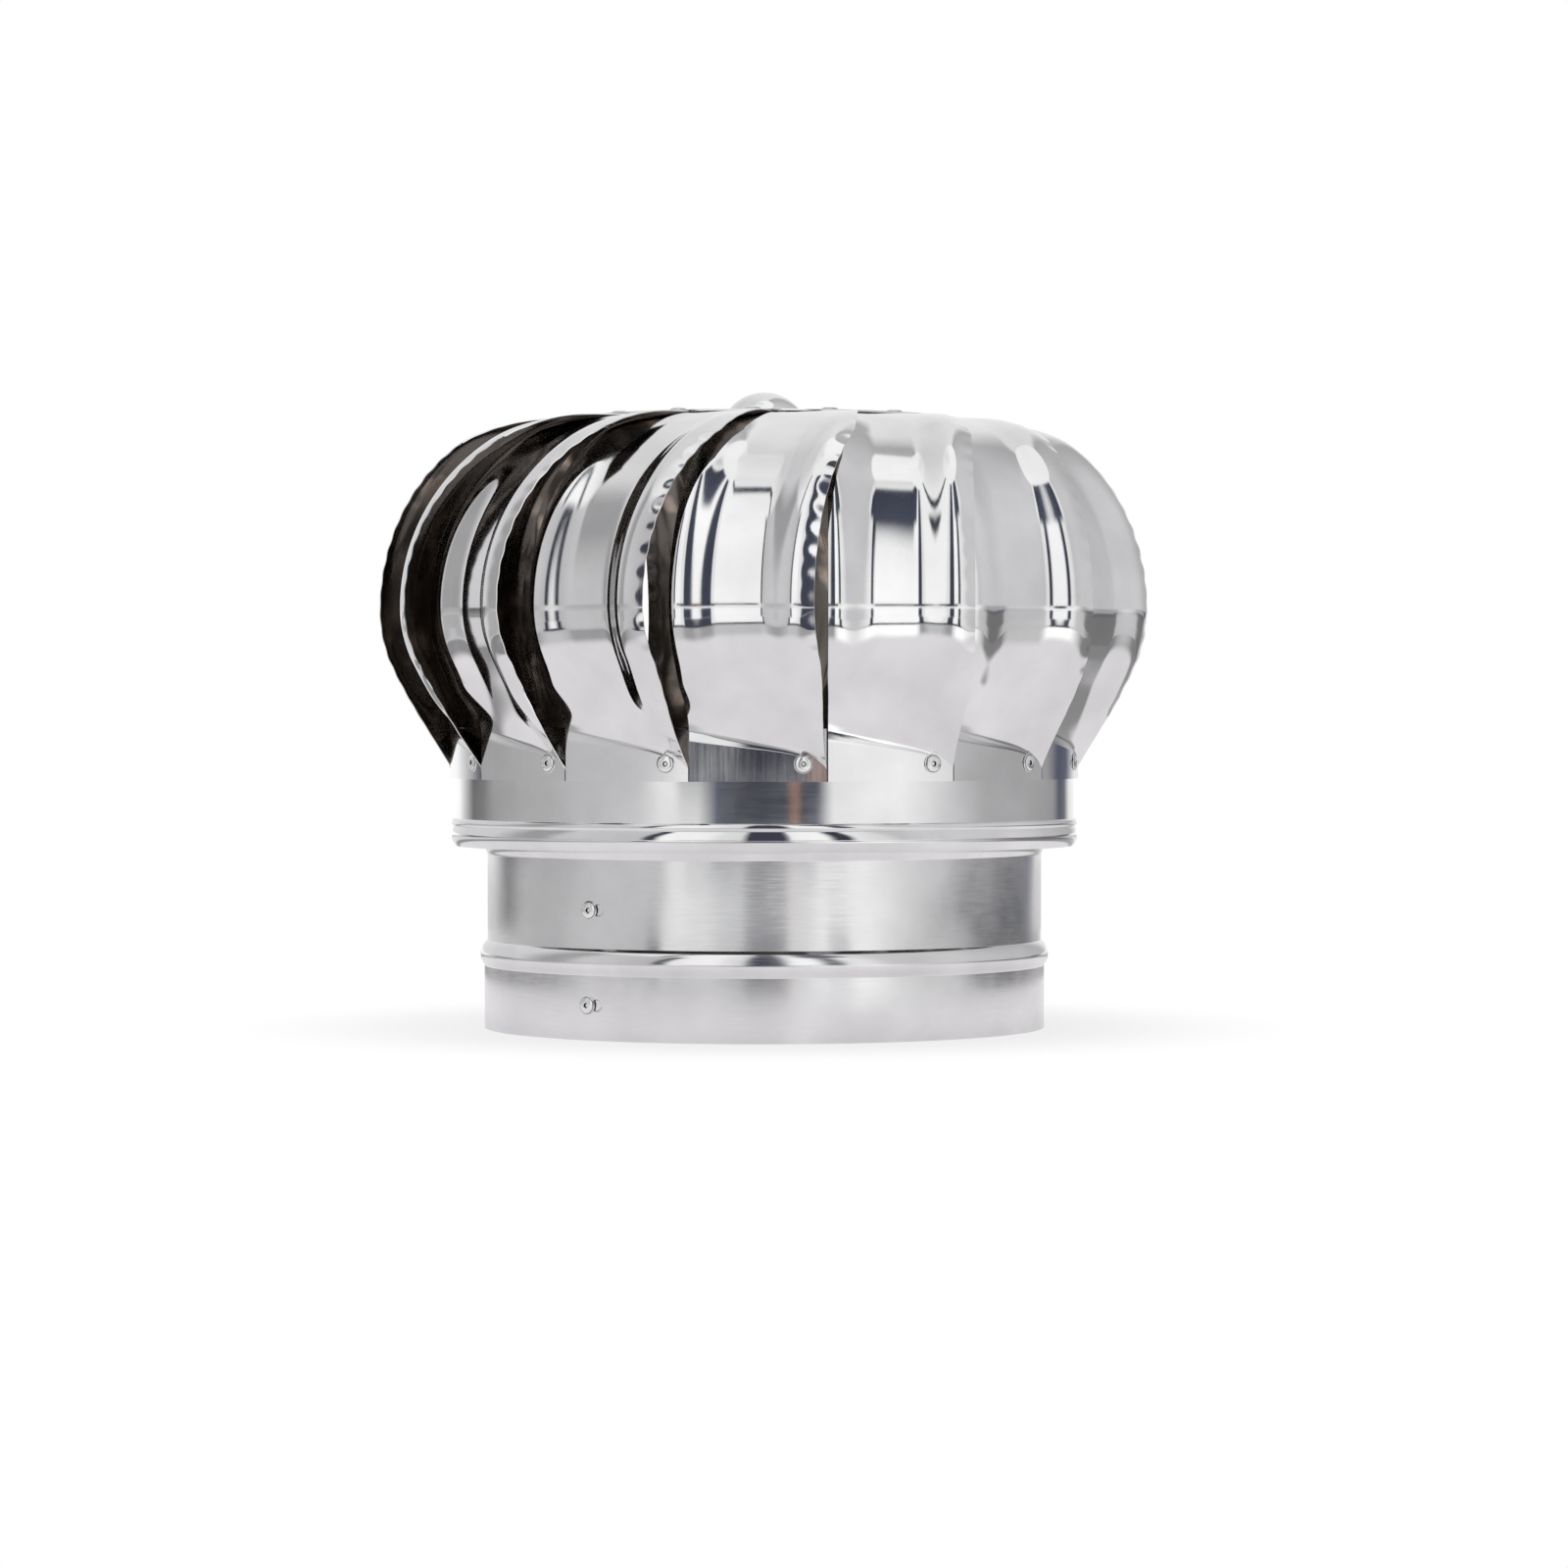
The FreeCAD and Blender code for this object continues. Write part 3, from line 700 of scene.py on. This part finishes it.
def make_ring(material):
    crest = ring_radius + ring_crest
    waist = (ring_radius + ring_waist, ring_roll_top)
    ridge = bow((ring_radius, ring_ridge_top), (crest, (ring_ridge_top + ring_roll_top) / 2.0),
                waist, ridge_segments)
    roll = bow(waist, (crest, (ring_roll_top + ring_foot) / 2.0),
               (ring_radius - ring_foot_draw, ring_foot), roll_segments)
    outer = [(ring_radius, ring_top), (ring_radius, ring_ridge_top + bend_support)] + ridge + roll[1:]
    profile = outer + inner_face(outer, sheet)
    ring = lathe("ring_band", profile, round_azimuths(round_segments), [material])
    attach(ring, "head")
    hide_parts("lower_ring")


# Vanes

def edge_places(reach):
    """The strip's two edges at a distance out from the axis: it narrows towards the tip."""
    share = np.clip((taper_reach - reach) / (taper_reach - tip_reach), 0.0, 1.0)
    lean = edge_lean * (vane_reach - reach)
    inner = (inner_edge + lean) * (1.0 - share) + tip_inner_edge * share
    outer = (outer_edge + lean) * (1.0 - share) + tip_outer_edge * share
    return inner, outer


def strip_row(reach, height, shares):
    inner, outer = edge_places(reach)
    across = inner + shares * (outer - inner)
    return np.stack([across, np.full_like(across, -reach), np.full_like(across, height)], axis=-1)


def arc_row(radius, degrees, shares):
    """A row of the lower or upper arc, at an angle above the vane's widest height."""
    angle = math.radians(degrees)
    reach = vane_reach - radius + radius * math.cos(angle)
    return strip_row(reach, vane_equator + radius * math.sin(angle), shares)


def tab_lift(share):
    """A tab is flatter than the ring, so that its sides spring away from it a little."""
    return tab_spring * (2.0 * share - 1.0)**2


def ring_row(height, shares):
    angle = np.radians(tab_start - vane_azimuth + tab_angle * shares)
    radius = ring_radius + tab_seat + vane_sheet + tab_lift(shares)
    return np.stack([radius * np.sin(angle), -radius * np.cos(angle), height], axis=-1)


def turn_handle(start, end):
    """Control point of the turn off the ring, on the line that the lower arc starts along."""
    angle = math.radians(-lower_angle)
    pull = np.linalg.norm((end - start)[:, 1:], axis=1) * turn_pull
    handle = end.copy()
    handle[:, 1] -= pull * math.sin(angle)
    handle[:, 2] -= pull * math.cos(angle)
    return handle


def vane_grid():
    """Outer face of the vane without its ribs: rows of points and each row's rib share."""
    shares = np.linspace(0.0, 1.0, vane_columns)
    fold = fold_start - fold_slope * shares - fold_corner * shares**fold_bend
    rows = []
    ribs = []
    for share in np.linspace(0.0, 1.0, tab_rows, endpoint=False):
        rows.append(ring_row(tab_bottom + (fold - tab_bottom) * share, shares))
        ribs.append(0.0)
    start = ring_row(fold, shares)
    end = arc_row(lower_radius, -lower_angle, shares)
    handle = turn_handle(start, end)
    for share in np.linspace(0.0, 1.0, turn_rows, endpoint=False):
        row = start * (1.0 - share)**2 + handle * 2.0 * share * (1.0 - share) + end * share**2
        row[:, 0] = start[:, 0] + (end - start)[:, 0] * smooth(share)
        rows.append(row)
        ribs.append(float(smooth((share - rib_start) / rib_run_in)))
    for degrees in np.linspace(-lower_angle, 0.0, lower_rows, endpoint=False):
        rows.append(arc_row(lower_radius, degrees, shares))
        ribs.append(1.0)
    for degrees in np.linspace(0.0, 90.0, upper_rows):
        rows.append(arc_row(upper_radius, degrees, shares))
        ribs.append(float(smooth((rib_end - degrees) / rib_run_out)))
    for share in tip_shares:
        rows.append(strip_row(vane_reach - upper_radius - vane_tab * share, vane_top, shares))
        ribs.append(0.0)
    return shares, np.array(rows), np.array(ribs)


def grid_normals(grid):
    along = np.gradient(grid, axis=0)
    across = np.gradient(grid, axis=1)
    normals = np.cross(across, along)
    return normals / np.linalg.norm(normals, axis=2, keepdims=True)


def crimp_wave(edge):
    """Height of the crimp at each row, by how far along the edge the row is."""
    travel = np.concatenate([[0.0], np.cumsum(np.linalg.norm(np.diff(edge, axis=0), axis=1))])
    uneven = 1.0
    for share, rate, phase in crimp_slow_waves:
        uneven = uneven + share * np.sin(travel * rate + phase)
    return np.sin(2.0 * math.pi * travel / crimp_pitch) * uneven * crimp_rise


def vane_skins():
    """Outer and inner face of a vane: ribs, an outer half that sinks a little, and the crimp."""
    shares, grid, ribs = vane_grid()
    normals = grid_normals(grid)
    places = inner_edge + shares * (outer_edge - inner_edge)
    rise = np.zeros(grid.shape[:2])
    for centre, rib, height in zip(rib_centres, rib_widths, rib_heights):
        near = np.clip(np.abs(places - centre) / (rib / 2.0), 0.0, 1.0)
        crown = np.cos(near * math.pi / 2.0)**2
        rise += ribs[:, None] * height * crown[None, :]
    sink = np.clip((places - sink_start) / (sink_end - sink_start), 0.0, 1.0)
    rise -= ribs[:, None] * sink_depth * sink[None, :]
    depth = smooth((places - (outer_edge - crimp_width)) / crimp_width)
    rise += (ribs * crimp_wave(grid[:, -1]))[:, None] * depth[None, :]
    outer = grid + normals * rise[..., None]
    inner = outer - normals * vane_sheet
    return outer, inner


def sheet_faces(rows, columns):
    """Quads of the outer skin, the inner skin and the rim between them."""
    def at(layer, row, column):
        return layer * rows * columns + row * columns + column

    faces = []
    indices = []
    for row in range(rows - 1):
        for column in range(columns - 1):
            faces.append((at(0, row, column), at(0, row, column + 1),
                          at(0, row + 1, column + 1), at(0, row + 1, column)))
            faces.append((at(1, row, column), at(1, row + 1, column),
                          at(1, row + 1, column + 1), at(1, row, column + 1)))
            indices += [0, 1]
    border = [(0, column) for column in range(columns)]
    border += [(row, columns - 1) for row in range(1, rows)]
    border += [(rows - 1, column) for column in range(columns - 2, -1, -1)]
    border += [(row, 0) for row in range(rows - 2, 0, -1)]
    for index, place in enumerate(border):
        following = border[(index + 1) % len(border)]
        faces.append((at(0, *following), at(0, *place), at(1, *place), at(1, *following)))
        indices.append(0)
    return faces, indices


def make_vanes(outside, inside):
    outer, inner = vane_skins()
    rows, columns = outer.shape[:2]
    faces, indices = sheet_faces(rows, columns)
    points = np.concatenate([outer.reshape(-1, 3), inner.reshape(-1, 3)]) * MM
    for index in range(vane_count):
        placed = turned(points, vane_azimuth + vane_pitch * index)
        name = "vane_%02d" % (index + 1)
        # The inner skin takes the steel painted dark as shade
        vane = new_object("bent_" + name, placed, faces, [outside, inside], indices)
        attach(vane, "head")
        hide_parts(name)


# Rivets

def rivet_profile():
    head = rivet_head / 2.0
    hole = rivet_hole / 2.0
    pin = rivet_pin / 2.0
    shank = rivet_shank / 2.0
    inside = [(0.0, rivet_pin_height), (pin * rivet_pin_flat_share, rivet_pin_height),
              (pin, rivet_pin_shoulder), (pin, rivet_hole_floor), (hole, rivet_hole_floor),
              (hole, rivet_head_height - rivet_rim_drop)]
    shoulder = (rivet_dome_radius_share * head, rivet_dome_height_share * rivet_head_height)
    dome = bow((hole + rivet_rim, rivet_head_height), shoulder, (head, rivet_edge_height),
               rivet_dome_segments)
    foot = [(head, 0.0), (shank, 0.0), (shank, -rivet_shank_depth), (0.0, -rivet_shank_depth)]
    return inside + dome + foot


def rivet_mesh():
    profile = rivet_profile()
    points = []
    for step in range(rivet_segments):
        angle = 2.0 * math.pi * step / rivet_segments
        for radius, height in profile:
            points.append((radius * math.cos(angle), radius * math.sin(angle), height))
    count = len(profile)
    faces = []
    indices = []
    for step in range(rivet_segments):
        after = (step + 1) % rivet_segments
        for index in range(count - 1):
            a = step * count + index
            b = after * count + index
            if profile[index][0] == 0.0:
                faces.append((a, b + 1, a + 1))
            elif profile[index + 1][0] == 0.0:
                faces.append((a, b, a + 1))
            else:
                faces.append((a, b, b + 1, a + 1))
            # Faces in the painted-shade rows take the second material, painted dark as shade
            indices.append(1 if index in rivet_painted_shade_rows else 0)
    return np.array(points), faces, indices


def rivet_group(name, places, body, replaced, materials):
    """Rivets at places of origin and outward direction, as one object."""
    points, faces, indices = rivet_mesh()
    all_points = []
    all_faces = []
    for origin, outward in places:
        turn = Vector((0, 0, 1)).rotation_difference(outward).to_matrix()
        start = len(all_points)
        for point in points:
            all_points.append((turn @ Vector(point) + origin) * MM)
        all_faces += [tuple(start + index for index in face) for face in faces]
    group = new_object(name, all_points, all_faces, materials, indices * len(places))
    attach(group, body)
    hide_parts(replaced)


def radial_place(radius, azimuth, height):
    return on_circle(radius, azimuth, height), on_circle(1.0, azimuth, 0.0)


def flat_place(radius, azimuth, height):
    return on_circle(radius, azimuth, height), Vector((0, 0, 1))


def seam_places():
    places = []
    for height in seam_rivet_heights:
        base = collar_radius if height < socket_depth else neck_radius
        places.append(radial_place(base + sheet, seam_rivet_azimuth, height))
    return places


def tab_places():
    share = (tab_rivet_azimuth - tab_start) / tab_angle
    radius = ring_radius + tab_seat + vane_sheet + tab_lift(share)
    return [radial_place(radius, tab_rivet_azimuth + vane_pitch * index, tab_rivet_height)
            for index in range(vane_count)]


def tip_places():
    reach = vane_reach - upper_radius - vane_tab / 2.0
    inner, outer = edge_places(reach)
    across = (inner + outer) / 2.0
    azimuth = vane_azimuth + math.degrees(math.atan2(across, reach))
    return [flat_place(math.hypot(reach, across), azimuth + vane_pitch * index, plate_top)
            for index in range(vane_count)]


def make_rivets(materials):
    brace_places = [radial_place(neck_radius + brace_rivet_seat, azimuth, brace_rivet_height)
                    for azimuth in brace_rivet_azimuths]
    hub_places = [flat_place(hub_rivet_circle, azimuth, plate_top + cap_sheet)
                  for azimuth in hub_rivet_azimuths]
    rivet_group("seam_rivet_heads", seam_places(), "base", "collar_seam_rivets", materials)
    rivet_group("brace_rivet_heads", brace_places, "base", "brace_rivets", materials)
    rivet_group("tab_rivet_heads", tab_places(), "head", "vane_lower_rivets", materials)
    rivet_group("tip_rivet_heads", tip_places(), "head", "vane_upper_rivets", materials)
    rivet_group("hub_rivet_heads", hub_places, "head", "hub_rivets", materials)


# Top plate and cap

def make_plate(material):
    edge = plate_radius - plate_bevel
    profile = [(plate_bore, vane_top), (edge, vane_top), (plate_radius, vane_top + plate_bevel),
               (plate_radius, plate_top - plate_bevel), (edge, plate_top), (plate_bore, plate_top)]
    plate = lathe("plate_disc", profile, round_azimuths(plate_segments), [material])
    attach(plate, "head")
    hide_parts("top_plate")


def dome_rows(width, radius, centre, count):
    """Points of a dome's arc from its pole out to its width."""
    rows = []
    for step in range(count + 1):
        reach = width * step / count
        rows.append((max(reach, pole_radius), centre + math.sqrt(radius**2 - reach**2)))
    return rows


def make_cap(material):
    rise = cap_height - cap_sheet
    radius = (cap_radius**2 + rise**2) / (2.0 * rise)
    centre = plate_top + cap_height - radius
    outer = dome_rows(cap_radius, radius, centre, cap_outer_rows)
    inner = dome_rows(cap_radius - 2.0 * cap_sheet, radius - cap_sheet, centre, cap_inner_rows)
    brim = [(cap_brim, plate_top + cap_sheet), (cap_brim, plate_top), (cap_radius - cap_sheet, plate_top)]
    profile = outer + brim + inner[::-1]
    cap = lathe("cap_dome", profile, round_azimuths(cap_segments), [material])
    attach(cap, "head")
    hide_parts("hub_cap")


# Inner pieces that keep their own shape

def dress_cad(names, material):
    for name in names:
        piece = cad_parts[name]
        piece.data.materials.clear()
        piece.data.materials.append(material)


def dress_inner_pieces(metals):
    dress_cad(("lower_brace", "upper_brace", "spider", "lower_bearing_housing",
               "upper_bearing_housing"), metals["bar"])
    dress_cad(("shaft", "shaft_spacer", "lower_bearing_inner_race", "upper_bearing_inner_race",
               "lower_bearing_outer_race", "upper_bearing_outer_race"), metals["ground_steel"])
    dress_cad(("brace_nut_below", "brace_nut_above", "race_nut_below", "race_nut_above",
               "brace_washer_below", "brace_washer_above"), metals["zinc"])
    dress_cad(("lower_housing_rivets",), metals["rivet"])


make_camera()
make_world()
make_floor()
metals = make_metals()
make_collar(metals["collar"])
make_ring(metals["ring"])
make_vanes(metals["vane"], metals["vane_inside"])
make_rivets([metals["rivet"], metals["recess"]])
make_plate(metals["ring"])
make_cap(metals["ring"])
dress_inner_pieces(metals)

bpy.context.scene.view_settings.view_transform = "Standard"
